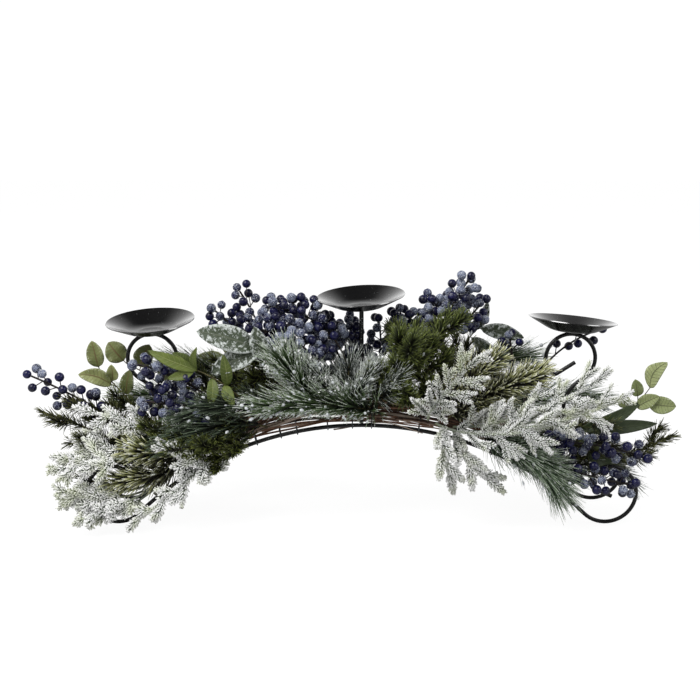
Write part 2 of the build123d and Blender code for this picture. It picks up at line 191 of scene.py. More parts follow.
def arc_through(start, middle, end):
    """A circular arc as its centre, two axes, radius and sweep."""
    start, middle, end = (np.array(p, float) for p in (start, middle, end))
    one = middle - start
    two = end - start
    normal = np.cross(one, two)
    shift = np.cross(normal, one) * (two @ two) + np.cross(two, normal) * (one @ one)
    centre = start + shift / (2 * (normal @ normal))
    radius = np.linalg.norm(start - centre)
    first = (start - centre) / radius
    second = np.cross(normal / np.linalg.norm(normal), first)
    sweep = math.atan2((end - centre) @ second, (end - centre) @ first) % (2 * math.pi)
    return centre, first, second, radius, sweep


def on_arc(arc, shares):
    """Places and headings at shares of an arc's length."""
    centre, first, second, radius, sweep = arc
    angles = np.atleast_1d(shares)[:, None] * sweep
    places = centre + radius * (np.cos(angles) * first + np.sin(angles) * second)
    headings = np.cos(angles) * second - np.sin(angles) * first
    return places, headings


def strand_arc(number):
    """The middle line of a strand, laid over the rods in its layer."""
    layer, (left_turn, left_y), middle_y, (right_turn, right_y) = strands[number]
    radius = arch_radius + 1.5 * wire + vine_diameter / 2 + vine_gap
    radius += layer * (vine_diameter + vine_gap)
    left = math.radians(left_turn)
    right = math.radians(right_turn)
    return arc_through(
        (radius * math.sin(left), left_y * mm, arch_centre + radius * math.cos(left)),
        (0, middle_y * mm, arch_centre + radius),
        (radius * math.sin(right), right_y * mm, arch_centre + radius * math.cos(right)),
    )


def tube(points, radii, sides):
    """Vertices, faces and the share along of a closed tube through points."""
    points = np.asarray(points)
    ways = np.gradient(points, axis=0)
    ways /= np.linalg.norm(ways, axis=1)[:, None]
    across = np.cross(ways[0], tube_start)
    rows = []
    for point, way, radius in zip(points, ways, radii):
        across = across - way * (across @ way)
        across /= np.linalg.norm(across)
        other = np.cross(way, across)
        angles = np.arange(sides) * 2 * math.pi / sides
        rows.append(point + radius * (np.cos(angles)[:, None] * across + np.sin(angles)[:, None] * other))
    verts = np.concatenate(rows)
    faces = []
    for row in range(len(points) - 1):
        for side in range(sides):
            turn = (side + 1) % sides
            low = row * sides
            faces.append((low + side, low + turn, low + sides + turn, low + sides + side))
    faces.append(tuple(range(sides - 1, -1, -1)))
    last = (len(points) - 1) * sides
    faces.append(tuple(range(last, last + sides)))
    along = np.repeat(np.linspace(0, 1, len(points)), sides)
    return verts, faces, along


def settle(points):
    """Points that would pass the front, the back or the table, pressed back softly."""
    points = points.copy()
    for side, sign in ((cad_box[0][1], -1), (cad_box[1][1], 1)):
        past = np.maximum(sign * (points[:, 1] - side), 0)
        points[:, 1] -= sign * (past - side_room * (1 - np.exp(-past / side_room)))
    sunk = np.maximum(table_room - points[:, 2], 0)
    points[:, 2] = np.where(sunk > 0, table_room * np.exp(-sunk / table_room), points[:, 2])
    return points


class Heap:
    """Vertices, faces and shading values gathered for one piece."""

    def __init__(self):
        self.verts = []
        self.faces = []
        self.slots = []
        self.values = {"along": [], "tint": [], "across": []}
        self.count = 0

    def add(self, verts, faces, along, tint, slot=0, across=0.0):
        self.faces += [tuple(corner + self.count for corner in face) for face in faces]
        self.slots += [slot] * len(faces)
        self.verts.append(verts)
        for key, value in (("along", along), ("tint", tint), ("across", across)):
            self.values[key].append(np.broadcast_to(value, len(verts)))
        self.count += len(verts)

    def build(self, name, materials):
        mesh = bpy.data.meshes.new(name)
        mesh.from_pydata(settle(np.concatenate(self.verts)).tolist(), [], self.faces)
        for key, values in self.values.items():
            layer = mesh.attributes.new(key, "FLOAT", "POINT")
            layer.data.foreach_set("value", np.concatenate(values).astype(np.float32))
        for material in materials:
            mesh.materials.append(material)
        mesh.polygons.foreach_set("material_index", self.slots)
        mesh.polygons.foreach_set("use_smooth", [True] * len(mesh.polygons))
        mesh.update()
        piece = bpy.data.objects.new(name, mesh)
        scene.collection.objects.link(piece)
        return piece

    def finish(self, name, materials, slot, *replaced):
        ride_along(self.build(name, materials), slot, *replaced)


def ride_along(piece, slot, *replaced):
    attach(piece, "root")
    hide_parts(*replaced)


def attribute(tree, name):
    return add_node(tree, "ShaderNodeAttribute", attribute_name=name).outputs["Fac"]


vine_bark, tree, shader = new_material("vine_bark")
bark = ramp(
    tree, object_noise(tree, 240.0, 4.0, 0.7),
    (0.34, paint(18, 11, 8)), (0.52, paint(92, 60, 42)), (0.72, paint(176, 148, 122)),
)
cane_tone = ramp(
    tree, attribute(tree, "tint"),
    (0.0, paint(214, 202, 188)), (0.35, paint(130, 90, 64)),
    (0.7, paint(52, 34, 25)), (1.0, paint(20, 13, 10)),
)
tree.links.new(blend_colours(tree, 0.6, bark, cane_tone), shader.inputs["Base Color"])
shader.inputs["Roughness"].default_value = 0.78
add_bump(tree, shader, object_noise(tree, 700.0, 4.0, 0.7), 0.0008)

canes_per_strand = 4
cane_points = 110
cane_sides = 7
cane_spread = 4.2 * mm
cane_sway = 3.2 * mm
cane_ripple = 0.7 * mm
cane_clear = 1.2 * mm
cane_flatness = 0.7
knots_per_cane = 6
knot_length = 0.004
front_strand = 1
rod_y = -45.0 * mm
runner_reach = wire / 2 + 1.3 * mm
runner_swirl = 20
loose_canes = 7
loose_points = 90
loose_sides = 6
stray_end = ((-187, -38, 72), (-197, -51, 46), (-202, -53, 20))
stray_points = 24


def beside_rod(turns, away, depth):
    """Points at turns round the arch, away from its centre and at a depth."""
    return np.stack([away * np.sin(turns), depth, arch_centre + away * np.cos(turns)], axis=1)


def add_loose_canes(heap, rng):
    """A runner that swirls round the front rod, canes that sag beside it and a stray cut end."""
    turns = np.radians(np.linspace(-5, 11, loose_points))
    swirl = turns * runner_swirl
    path = beside_rod(
        turns, arch_radius + runner_reach * np.sin(swirl), rod_y + runner_reach * np.cos(swirl)
    )
    heap.add(*tube(path, np.linspace(0.9, 0.5, loose_points) * mm, loose_sides), tint=0.1)
    for _ in range(loose_canes):
        turns = np.radians(np.linspace(rng.uniform(-26, -6), rng.uniform(6, 17), loose_points))
        sag = np.sin(turns * rng.uniform(12, 26) + rng.uniform(0, 6))
        away = arch_radius + (rng.uniform(5.0, 9.0) + 1.8 * sag) * mm
        depth = rod_y + (rng.uniform(1.0, 6.0) + 1.5 * np.cos(turns * rng.uniform(9, 22))) * mm
        thick = np.linspace(1.3, 0.8, loose_points) * mm
        heap.add(*tube(beside_rod(turns, away, depth), thick, loose_sides), tint=rng.uniform(0.2, 0.55))
    stray = on_arc(arc_through(*np.array(stray_end) * mm), np.linspace(0, 1, stray_points))[0]
    heap.add(*tube(stray, np.linspace(1.3, 1.0, stray_points) * mm, loose_sides), tint=0.6)


for number in strands:
    rng = np.random.default_rng(100 + number)
    heap = Heap()
    shares = np.linspace(0, 1, cane_points)
    spine, headings = on_arc(strand_arc(number), shares)
    outward = spine - np.array((0, 0, arch_centre))
    outward[:, 1] = 0
    outward /= np.linalg.norm(outward, axis=1)[:, None]
    sideways = np.cross(headings, outward)
    for cane in range(canes_per_strand):
        begin = rng.uniform(0.0, 0.05)
        stop = rng.uniform(0.94, 1.0)
        inside = (shares >= begin) & (shares <= stop)
        twist = cane * 2 * math.pi / canes_per_strand + shares * rng.uniform(4, 11)
        reach = cane_spread + cane_sway * np.sin(shares * rng.uniform(7, 15) + rng.uniform(0, 6))
        lift = cane_ripple * np.sin(shares * rng.uniform(20, 40) + rng.uniform(0, 6))
        path = spine + sideways * (reach * np.cos(twist))[:, None]
        path += outward * (cane_flatness * reach * np.sin(twist) + lift + cane_clear)[:, None]
        thick = rng.uniform(0.8, 1.5) * mm * (1 + 0.10 * np.sin(shares * 61 + cane))
        for knot in rng.uniform(0.05, 0.95, knots_per_cane):
            thick = thick * (1 + 0.5 * np.exp(-((shares - knot) / knot_length) ** 2))
        heap.add(*tube(path[inside], thick[inside], cane_sides), tint=rng.uniform())
    if number == front_strand:
        add_loose_canes(heap, rng)
    heap.finish("vine_canes_" + str(number), [vine_bark], "vine_bark", "vine_strand_" + str(number))


# Binding wire: short closed loops of thin florist's wire round each rod and the vine beside it.
# Bare steel gone dull, which holds the vine down on the frame.
def mottled(name, scale, dark, light, roughness):
    """A finish whose colour wanders between two tones, and its shader."""
    material, tree, shader = new_material(name)
    tone = ramp(tree, object_noise(tree, scale), (0.3, dark), (0.7, light))
    tree.links.new(tone, shader.inputs["Base Color"])
    shader.inputs["Roughness"].default_value = roughness
    return material, shader


tie_steel, shader = mottled("tie_steel", 500.0, paint(44, 46, 48), paint(120, 124, 128), 0.42)
shader.inputs["Metallic"].default_value = 0.7
dress("binding_wires", tie_steel)

# Berry picks: wired stems with short twigs, each ending in a glossy navy berry. A third to a half
# of the berries are dusted with sugar frost until they look grey.
golden_turn = 137.5
branch_turn = 70.0
berry_diameter = 10.5 * mm
berry_spacing = 0.93
last_twig = 0.97
last_crowded = 0.93
crowd_tries = 60
berry_stem_points = 16
berry_stem_sides = 6
grains_per_berry = 44
fewest_grains = 6
post_room = 8.5 * mm
dish_room = 30.0 * mm
dish_air = 195.0 * mm


def grow(number, turn, bend, tip):
    """The arc of a stem that leaves a vine strand at a turn, bends and ends at a tip."""
    _, (left_turn, _), _, (right_turn, _) = strands[number]
    spot = on_arc(strand_arc(number), (turn - left_turn) / (right_turn - left_turn))[0][0]
    bend = np.array(bend) * mm
    root = spot + bend / np.linalg.norm(bend) * (vine_diameter / 2 + root_gap)
    return arc_through(root, spot + bend, spot + np.array(tip) * mm)


def unit_rows(rows):
    return rows / np.linalg.norm(rows, axis=1)[:, None]


def around(arc, shares, lean, spin):
    """Places on a stem, the ways that things lean out there, and the stem's headings."""
    places, headings = on_arc(arc, shares)
    sideways = unit_rows(np.cross(headings, (0, 0, 1)))
    upright = np.cross(sideways, headings)
    lean = np.broadcast_to(lean, len(places))[:, None]
    out = sideways * np.cos(spin)[:, None] + upright * np.sin(spin)[:, None]
    return places, headings * np.cos(lean) + out * np.sin(lean), headings


def take_shape():
    """The active object's vertices and faces; the object itself is removed."""
    model = bpy.context.object
    verts = np.array([vertex.co[:] for vertex in model.data.vertices])
    faces = [tuple(face.vertices) for face in model.data.polygons]
    bpy.data.objects.remove(model)
    return verts, faces


def copies(heap, shape, places, ways, fronts, sizes, tint, bend=0.0, slot=0):
    """Copies of a shape along ways, each sized, bent towards its front, and tinted."""
    verts, faces = shape
    fronts = fronts - ways * np.sum(fronts * ways, axis=1)[:, None]
    fronts = unit_rows(fronts + 1e-9)
    sides = np.cross(ways, fronts)
    local = verts[None] * sizes[:, None, :]
    curl = np.broadcast_to(bend, len(places))[:, None] * verts[None, :, 2] ** 2
    world = places[:, None] + (local[..., 0] + curl)[..., None] * fronts[:, None]
    world = world + local[..., 1, None] * sides[:, None] + local[..., 2, None] * ways[:, None]
    count = len(verts)
    all_faces = []
    for number in range(len(places)):
        start = number * count
        all_faces += [tuple(corner + start for corner in face) for face in faces]
    tint = np.repeat(np.broadcast_to(tint, len(places)), count)
    heap.add(world.reshape(-1, 3), all_faces, np.tile(verts[:, 2], len(places)), tint, slot)


bpy.ops.mesh.primitive_uv_sphere_add(segments=14, ring_count=9, radius=1.0)
bpy.ops.object.mode_set(mode="EDIT")
bpy.ops.mesh.select_all(action="DESELECT")
bpy.ops.object.mode_set(mode="OBJECT")
crown = max(bpy.context.object.data.vertices, key=lambda vertex: vertex.co.z)
crown.select = True
bpy.ops.object.mode_set(mode="EDIT")
bpy.ops.transform.translate(value=(0, 0, -0.16))
bpy.ops.object.mode_set(mode="OBJECT")
berry_shape = take_shape()
bpy.ops.mesh.primitive_ico_sphere_add(subdivisions=1, radius=1.0)
crumb_shape = take_shape()


def scaled_sum(tree, value, weight, other):
    """A value times a weight, plus another value."""
    node = add_node(tree, "ShaderNodeMath", operation="MULTIPLY_ADD")
    tree.links.new(value, node.inputs[0])
    node.inputs[1].default_value = weight
    tree.links.new(other, node.inputs[2])
    return node.outputs[0]


berry_skin, tree, shader = new_material("berry_skin")
speckle = object_noise(tree, 800.0, 3.0, 0.7)
clumps = scaled_sum(tree, object_noise(tree, 230.0), 0.45, speckle)
frosting = scaled_sum(tree, attribute(tree, "tint"), 0.30, clumps)
dusting = ramp(tree, frosting, (0.90, 0.0), (1.04, 1.0))
skin = ramp(tree, object_noise(tree, 90.0), (0.3, paint(9, 9, 27)), (0.7, paint(26, 27, 76)))
tree.links.new(blend_colours(tree, dusting, skin, paint(134, 142, 164)), shader.inputs["Base Color"])
tree.links.new(ramp(tree, frosting, (0.78, 0.24), (1.03, 0.7)), shader.inputs["Roughness"])
add_bump(tree, shader, speckle, 0.0005, 0.5)
sugar = mottled("sugar_frost", 900.0, paint(196, 202, 208), paint(238, 240, 242), 0.55)[0]
berry_stem = mottled("berry_stem", 300.0, paint(14, 11, 11), paint(46, 36, 31), 0.7)[0]


def in_the_way(head):
    """Whether a berry would hide the middle post or fill the air beside it under the dish."""
    before_post = abs(head[0]) < post_room and head[1] < post_room
    under_dish = 0 < head[0] < dish_room and head[2] > dish_air
    return before_post or under_dish


def add_twig(heap, place, head):
    heap.add(*tube(np.linspace(place, head, 3), (0.6 * mm, 0.5 * mm, 0.5 * mm), 5), tint=0.0, slot=2)


def berry_pick(name, lean, twig, frosted, crowd, branches, extra=()):
    """The berries of a pick and its extra branches, with a crowd on wilder twigs between them.

    A branch is the arc of its stem, its number of berries and the bare share of the stem.
    """
    rng = np.random.default_rng(len(name) * 7 + len(branches))
    heap = Heap()
    centres = np.empty((0, 3))
    ways = np.empty((0, 3))
    for number, (arc, count, bare) in enumerate([*branches, *extra]):
        steps = np.arange(count)
        spin = np.radians(branch_turn * number + steps * golden_turn)
        shares = bare + (last_twig - bare) * (steps + 0.5) / count
        places, leans, _ = around(arc, shares, math.radians(lean), spin)
        tip, heading = on_arc(arc, 1.0)
        heads = places + leans * (twig * mm + berry_diameter / 2)
        if number >= len(branches):
            stem = on_arc(arc, np.linspace(0, 1, berry_stem_points))[0]
            girth = np.linspace(1.2, 0.8, berry_stem_points) * mm
            heap.add(*tube(stem, girth, berry_stem_sides), tint=0.0, slot=2)
            clear = np.array([not in_the_way(head) for head in heads])
            places, leans, heads = places[clear], leans[clear], heads[clear]
            for place, head in zip(places, heads):
                add_twig(heap, place, head)
        centres = np.concatenate([centres, heads, tip + heading * berry_diameter / 2])
        ways = np.concatenate([ways, leans, heading])
    for arc, count, bare in [*branches, *extra]:
        wanted = int(crowd * count)
        tries = crowd_tries * wanted
        shares = rng.uniform(bare, last_crowded, tries)
        leans = np.radians(rng.uniform(30, 105, tries))
        places, leans, _ = around(arc, shares, leans, rng.uniform(0, 2 * math.pi, tries))
        reach = twig * mm * rng.uniform(0.3, 1.9, tries) + berry_diameter / 2
        heads = places + leans * reach[:, None]
        for place, way, head in zip(places, leans, heads):
            if in_the_way(head):
                continue
            nearest = np.min(np.linalg.norm(centres - head, axis=1))
            if wanted and nearest > berry_spacing * berry_diameter:
                wanted -= 1
                centres = np.vstack([centres, head])
                ways = np.vstack([ways, way])
                add_twig(heap, place, head)
    number = len(centres)
    girth = berry_diameter / 2 * rng.uniform(0.92, 1.06, number)
    frost = rng.uniform(-0.25, 0.15, number)
    frost = np.where(rng.uniform(0, 1, number) < frosted, rng.uniform(0.45, 1.0, number), frost)
    sizes = np.stack([girth, girth, girth * rng.uniform(0.94, 1.04, number)], axis=1)
    copies(heap, berry_shape, centres, ways, rng.normal(size=ways.shape), sizes, frost)
    for centre, size, cover in zip(centres, girth, frost):
        grains = int(grains_per_berry * cover)
        if grains < fewest_grains:
            continue
        out = unit_rows(rng.normal(size=(grains, 3)) + (0, -0.2, 0.45))
        fronts = rng.normal(size=(grains, 3))
        grain = rng.uniform(0.28, 0.6, (grains, 3)) * mm
        copies(heap, crumb_shape, centre + out * size, out, fronts, grain, tint=1.0, slot=1)
    heap.finish(name + "_berry_skins", [berry_skin, sugar, berry_stem], "berry_skin", name + "_berries")
    dress(name + "_berry_stems", berry_stem)


berry_pick(
    "far_left", lean=55, twig=9.0, frosted=0.3, crowd=0.35,
    branches=[
        (grow(1, -33.3, (-89, -3, 67), (-164, 1, 105)), 17, 0.48),
    ],
)
berry_pick(
    "left", lean=60, twig=8.0, frosted=0.34, crowd=0.6,
    branches=[
        (grow(7, -22, (-47, -26, 57), (-104, -18, 77)), 18, 0.42),
        (grow(1, -24, (-43, -35, 47), (-85, -33, 55)), 16, 0.42),
    ],
)
berry_pick(
    "centre", lean=72, twig=9.0, frosted=0.5, crowd=1.1,
    branches=[
        (grow(7, -4, (-41, 0, 70), (-103, 12, 84)), 34, 0.36),
        (grow(7, -2, (-39, 28, 91), (-90, 36, 104)), 30, 0.46),
        (grow(8, -16, (-12, -8, 94), (-33, -12, 136)), 5, 0.72),
        (grow(8, -19, (-26, 3, 100), (-44, 1, 117)), 5, 0.74),
    ],
    extra=[
        (grow(8, -3, (-8, -6, 52), (-30, -8, 82)), 16, 0.3),
        (grow(8, 0, (-6, -4, 50), (-12, -6, 76)), 14, 0.3),
    ],
)
berry_pick(
    "right_centre", lean=55, twig=8.0, frosted=0.5, crowd=1.4,
    branches=[
        (grow(8, -2, (-5, 12, 55), (-1, 10, 87)), 6, 0.56),
        (grow(8, 2, (9, 14, 55), (7, 10, 83)), 6, 0.56),
        (grow(8, 7, (2, -1, 67), (-2, -3, 99)), 7, 0.56),
        (grow(8, 10, (26, -5, 85), (55, -9, 140)), 13, 0.56),
        (grow(8, 13, (32, 14, 86), (55, 18, 114)), 8, 0.66),
    ],
    extra=[
        (grow(8, 6, (18, -4, 62), (30, -6, 92)), 10, 0.5),
        (grow(8, 8, (20, -6, 75), (34, -8, 112)), 14, 0.5),
        (grow(8, 5, (12, -2, 62), (24, -4, 94)), 8, 0.55),
    ],
)
berry_pick(
    "right_stand", lean=48, twig=9.0, frosted=0.3, crowd=0.0,
    branches=[
        (grow(6, 25, (17, 10, 75), (13, 8, 103)), 4, 0.80),
        (grow(6, 29, (44, 23, 93), (94, 23, 123)), 6, 0.62),
    ],
)
berry_pick(
    "lower_right", lean=62, twig=8.0, frosted=0.35, crowd=0.7,
    branches=[
        (grow(1, 26, (80, -35, 14), (149, -31, -3)), 22, 0.28),
        (grow(1, 29, (56, -41, -8), (115, -35, -24)), 18, 0.28),
    ],
)

# Leaf sprays: arched fabric blades with a pressed midrib and side veins on a wired stem. The
# left, ruscus, right and back ones are olive, the dark ones nearly free of frost, the others grey.
leaf_arch = 0.10
leaf_rows = 14
leaf_columns = 8
leaf_sheet = 0.5 * mm
least_half_width = 0.25 * mm
leaf_stem_points = 20
leaf_stem_sides = 7
stalk_points = 4
stalk_sides = 6
vein_slope = -0.11
vein_pitch = 0.055
rim_frost = 0.18
facing_front = np.array((0, -0.95, 0.3))
facing_back = np.array((0, 0.95, 0.3))


def leaf_material(name, light, deep, vein, frost, cover, grain=800.0):
    """A blade's green with its veins, and frost that gathers towards the rim."""
    material, tree, shader = new_material(name)
    tone = ramp(tree, attribute(tree, "tint"), (0.0, deep), (1.0, light))
    blotch = ramp(tree, object_noise(tree, 110.0, 3.0), (0.35, 0.0), (0.75, 0.55))
    tone = blend_colours(tree, blotch, tone, deep)
    fold = add_node(tree, "ShaderNodeMath", operation="ABSOLUTE")
    tree.links.new(attribute(tree, "across"), fold.inputs[0])
    slope = scaled_sum(tree, fold.outputs[0], vein_slope, attribute(tree, "along"))
    pitch = add_node(tree, "ShaderNodeMath", operation="PINGPONG")
    tree.links.new(slope, pitch.inputs[0])
    pitch.inputs[1].default_value = vein_pitch
    side_vein = ramp(tree, pitch.outputs[0], (0.0, 0.7), (0.012, 0.0))
    mid_vein = ramp(tree, fold.outputs[0], (0.03, 1.0), (0.10, 0.0))
    lines = add_node(tree, "ShaderNodeMath", operation="MAXIMUM")
    tree.links.new(side_vein, lines.inputs[0])
    tree.links.new(mid_vein, lines.inputs[1])
    colour = blend_colours(tree, lines.outputs[0], tone, vein)
    rime = scaled_sum(tree, fold.outputs[0], rim_frost, object_noise(tree, grain, 4.0, 0.7))
    dusted = ramp(tree, rime, (1.0 - cover, 0.0), (1.10 - cover, 1.0))
    tree.links.new(blend_colours(tree, dusted, colour, frost), shader.inputs["Base Color"])
    shader.inputs["Roughness"].default_value = 0.55
    add_bump(tree, shader, lines.outputs[0], 0.0006, 0.7)
    return material


def leaf_spray(name, material, slot, facing, branches, wave, petiole=0.04, broad=1.0, blunt=0.7):
    """Stems with their leaves; a leaf is its place on the stem, its reach and its width."""
    rng = np.random.default_rng(len(name) * 13)
    stems = Heap()
    blades = Heap()
    for arc, leaves in branches:
        stem = on_arc(arc, np.linspace(0, 1, leaf_stem_points))[0]
        girth = np.linspace(1.1, 0.6, leaf_stem_points) * mm
        stems.add(*tube(stem, girth, leaf_stem_sides), tint=0.5)
        for place, reach, width in leaves:
            root = on_arc(arc, place)[0][0]
            reach = np.array(reach) * mm
            length = np.linalg.norm(reach)
            heading = reach / length
            normal = np.cross(heading, np.cross(facing, heading))
            normal /= np.linalg.norm(normal)
            side = np.cross(normal, heading)
            share, across = np.meshgrid(
                np.linspace(0, 1, leaf_rows + 1), np.linspace(-1, 1, leaf_columns + 1), indexing="ij"
            )
            half = 0.5 * broad * width * mm * np.maximum(np.sin(math.pi * share ** 0.87), 0) ** blunt
            half = np.maximum(half, least_half_width)
            stalk = np.linspace(0, petiole, stalk_points)
            lift = leaf_arch * length * 4 * stalk * (1 - stalk)
            stalk = root + np.outer(stalk * length, heading) + np.outer(lift, normal)
            stems.add(*tube(stalk, np.full(stalk_points, 0.6 * mm), stalk_sides), tint=0.5)
            reached = petiole + (1 - petiole) * share
            lift = leaf_arch * length * 4 * reached * (1 - reached)
            lift = lift + np.abs(across) * half * rng.uniform(0.1, 0.35)
            ripple = np.sin(share * rng.uniform(9, 15) + rng.uniform(0, 6) + np.sign(across) * 1.3)
            lift = lift + wave * ripple * across ** 2 * half
            sway = length * 0.05 * rng.normal() * np.sin(math.pi * share)
            verts = root + (reached * length)[..., None] * heading
            verts = verts + (across * half + sway)[..., None] * side + lift[..., None] * normal
            faces = []
            for row in range(leaf_rows):
                for column in range(leaf_columns):
                    low = row * (leaf_columns + 1) + column
                    faces.append((low, low + leaf_columns + 1, low + leaf_columns + 2, low + 1))
            verts = verts.reshape(-1, 3)
            blades.add(verts, faces, share.ravel(), tint=rng.uniform(), across=across.ravel())
    blade = blades.build(name + "_leaf_blades", [material, green_stem])
    thicken = blade.modifiers.new("sheet", "SOLIDIFY")
    thicken.thickness = leaf_sheet
    thicken.offset = 0.0
    wires = stems.build(name + "_leaf_stems", [green_stem])
    bpy.ops.object.select_all(action="DESELECT")
    bpy.context.view_layer.objects.active = blade
    blade.select_set(True)
    bpy.ops.object.modifier_apply(modifier="sheet")
    wires.select_set(True)
    bpy.ops.object.join()
    ride_along(blade, slot, name + "_leaf_pick")


olive_leaf = leaf_material(
    "olive_leaf", light=paint(150, 156, 98), deep=paint(88, 98, 48), vein=paint(110, 92, 56),
    frost=paint(206, 210, 190), cover=0.3,
)
ruscus_leaf = leaf_material(
    "ruscus_leaf", light=paint(108, 122, 50), deep=paint(54, 70, 22), vein=paint(128, 136, 76),
    frost=paint(206, 210, 190), cover=0.12,
)
pale_leaf = leaf_material(
    "pale_leaf", light=paint(170, 178, 124), deep=paint(122, 134, 82), vein=paint(104, 108, 70),
    frost=paint(214, 218, 200), cover=0.28,
)
dark_leaf = leaf_material(
    "dark_leaf", light=paint(60, 74, 40), deep=paint(30, 40, 20), vein=paint(52, 62, 34),
    frost=paint(150, 158, 140), cover=0.06,
)
grey_leaf = leaf_material(
    "grey_leaf", light=paint(74, 86, 64), deep=paint(42, 52, 36), vein=paint(90, 98, 80),
    frost=paint(198, 204, 200), cover=0.42, grain=300.0,
)
green_stem = mottled("green_stem", 260.0, paint(64, 62, 34), paint(104, 96, 56), 0.7)[0]

leaf_spray(
    "left", olive_leaf, "leaf_green", facing_front, wave=0.12, petiole=0.12, broad=1.15, blunt=0.62,
    branches=[
        (grow(1, -34, (-58, 17, 79), (-88, 21, 110)), [
            (1.0, (-7, -2, 34), 17.0),
            (0.86, (1, -7, 22), 12.0),
            (0.82, (-40, -8, 15), 16.0),
            (0.70, (6, -4, 32), 14.0),
        ]),
        (grow(6, -30, (-50, 1, 70), (-84, 1, 92)), [
            (1.0, (-20, 2, 24), 22.0),
            (0.86, (12, 2, 30), 20.0),
            (0.66, (28, 2, 34), 20.0),
        ]),
    ],
)
leaf_spray(
    "ruscus", ruscus_leaf, "leaf_green", facing_front, wave=0.05,
    branches=[
        (grow(1, -18, (-41, -29, 63), (-68, -31, 77)), [
            (1.0, (-22, -4, 19), 13.0),
            (0.97, (2, -8, 27), 8.0),
            (0.98, (-30, -8, -8), 11.0),
            (0.94, (-54, -6, 24), 14.0),
            (0.80, (-2, -12, -29), 13.0),
            (0.66, (12, -16, -20), 13.0),
            (0.62, (-3, -8, 38), 13.0),
        ]),
    ],
)
leaf_spray(
    "frosted", grey_leaf, "leaf_frosted", facing_front, wave=0.10, petiole=0.03, broad=1.3, blunt=0.62,
    branches=[
        (grow(5, -13, (-12, -25, 60), (-28, -33, 84)), [
            (1.0, (-66, -4, 20), 22.0),
            (0.96, (-54, -4, -24), 18.0),
            (0.80, (-14, -10, 40), 16.0),
        ]),
    ],
)
leaf_spray(
    "right", pale_leaf, "leaf_green", facing_front, wave=0.10, petiole=0.3, broad=1.35, blunt=0.62,
    branches=[
        (grow(2, 37, (68, 4, 62), (96, 6, 88)), [
            (1.0, (26, -2, 42), 14.0),
            (0.95, (-6, -8, 28), 11.0),
            (0.84, (-10, -10, 22), 11.0),
            (0.93, (44, -6, -2), 15.0),
            (0.82, (34, -8, 20), 12.0),
        ]),
    ],
)
leaf_spray(
    "dark", dark_leaf, "leaf_dark", facing_front, wave=0.06,
    branches=[
        (grow(2, 34, (19, -6, 31), (39, -8, 42)), [
            (1.0, (88, -2, 9), 16.0),
            (0.90, (76, 8, 34), 15.0),
            (0.92, (60, 2, -50), 19.0),
        ]),
    ],
)
leaf_spray(
    "right_grey", grey_leaf, "leaf_frosted", facing_front, wave=0.10,
    branches=[
        (grow(6, 17, (12, 24, 76), (28, 32, 92)), [
            (1.0, (54, 2, -12), 19.0),
            (0.95, (14, -2, 36), 12.0),
            (0.86, (34, 4, -26), 16.0),
        ]),
    ],
)
leaf_spray(
    "back", olive_leaf, "leaf_green", facing_back, wave=0.08,
    branches=[
        (grow(4, -13, (-37, 35, 35), (-77, 41, 51)), [
            (1.0, (-46, 6, -6), 18.0),
            (0.90, (-20, 8, 34), 16.0),
            (0.75, (-6, 12, 36), 16.0),
            (0.85, (-12, 12, -32), 16.0),
            (0.60, (0, 14, -30), 16.0),
        ]),
    ],
)

# Needle boughs: slim moulded needles set thickly round a wired stem and leaning to its tip. Fir
# has short flat needles, pine long curved ones; snow crumbs cling to the frosted boughs.
bpy.ops.mesh.primitive_cone_add(vertices=3, radius1=0.5, radius2=0.16, depth=1.0)
bpy.ops.object.mode_set(mode="EDIT")
for height in (-0.2, 0.2):
    bpy.ops.mesh.select_all(action="SELECT")
    bpy.ops.mesh.bisect(plane_co=(0, 0, height), plane_no=(0, 0, 1))
bpy.ops.object.mode_set(mode="OBJECT")
needle_shape = take_shape()
needle_shape[0][:, 2] += 0.5
needle_flatness = 0.55
needle_lean_base = 1.15
needle_lean_lost = 0.5
aged_until = 0.55
down_press = 1.3
snow_catch = 3.0
least_crumb = (0.6, 0.5, 0.9)
most_crumb = (2.6, 1.9, 4.0)
shoot_lean = 52
last_shoot = 0.9
shoot_middle = 0.55
shoot_rise = 0.35
shoot_bare = 0.05
shoot_share = 0.4
shoot_girth = 0.8
stem_girth = 1.2
bough_stem_points = 14
bough_stem_sides = 6
fill_bare = 0.15
fill_needles = 170
fill_shoots = 5
fill_shoot_length = 30.0
fill_shoot_needles = 70
snow_drift = 0.3


def needle_material(name, base, middle, tip, other, snow, dark=0.2):
    """A needle's tones from a near-black base, painted shade deep in the bough, to a paler tip, another
    tone that some take, and snow at the tips.
    """
    material, tree, shader = new_material(name)
    # Painted shade: the base stop darkens each needle's inner part nearly to black, where the inside of
    # the bough lies in shade.
    lengthways = ramp(tree, attribute(tree, "along"), (dark, base), (0.5 + dark / 2, middle), (0.95, tip))
    varied = ramp(tree, attribute(tree, "tint"), (0.25, 0.0), (1.0, 0.75))
    colour = blend_colours(tree, varied, lengthways, other)
    drift = scaled_sum(tree, attribute(tree, "along"), snow_drift, object_noise(tree, 260.0, 3.0, 0.7))
    white = ramp(tree, drift, (1.0 - snow, 0.0), (1.12 - snow, 1.0))
    tree.links.new(blend_colours(tree, white, colour, paint(226, 230, 226)), shader.inputs["Base Color"])
    shader.inputs["Roughness"].default_value = 0.6
    return material


def under(ways, pressed):
    """The share of its length that growth keeps where it points down at the vine."""
    return 1.0 - pressed * np.clip(-down_press * ways[:, 2], 0, 1)


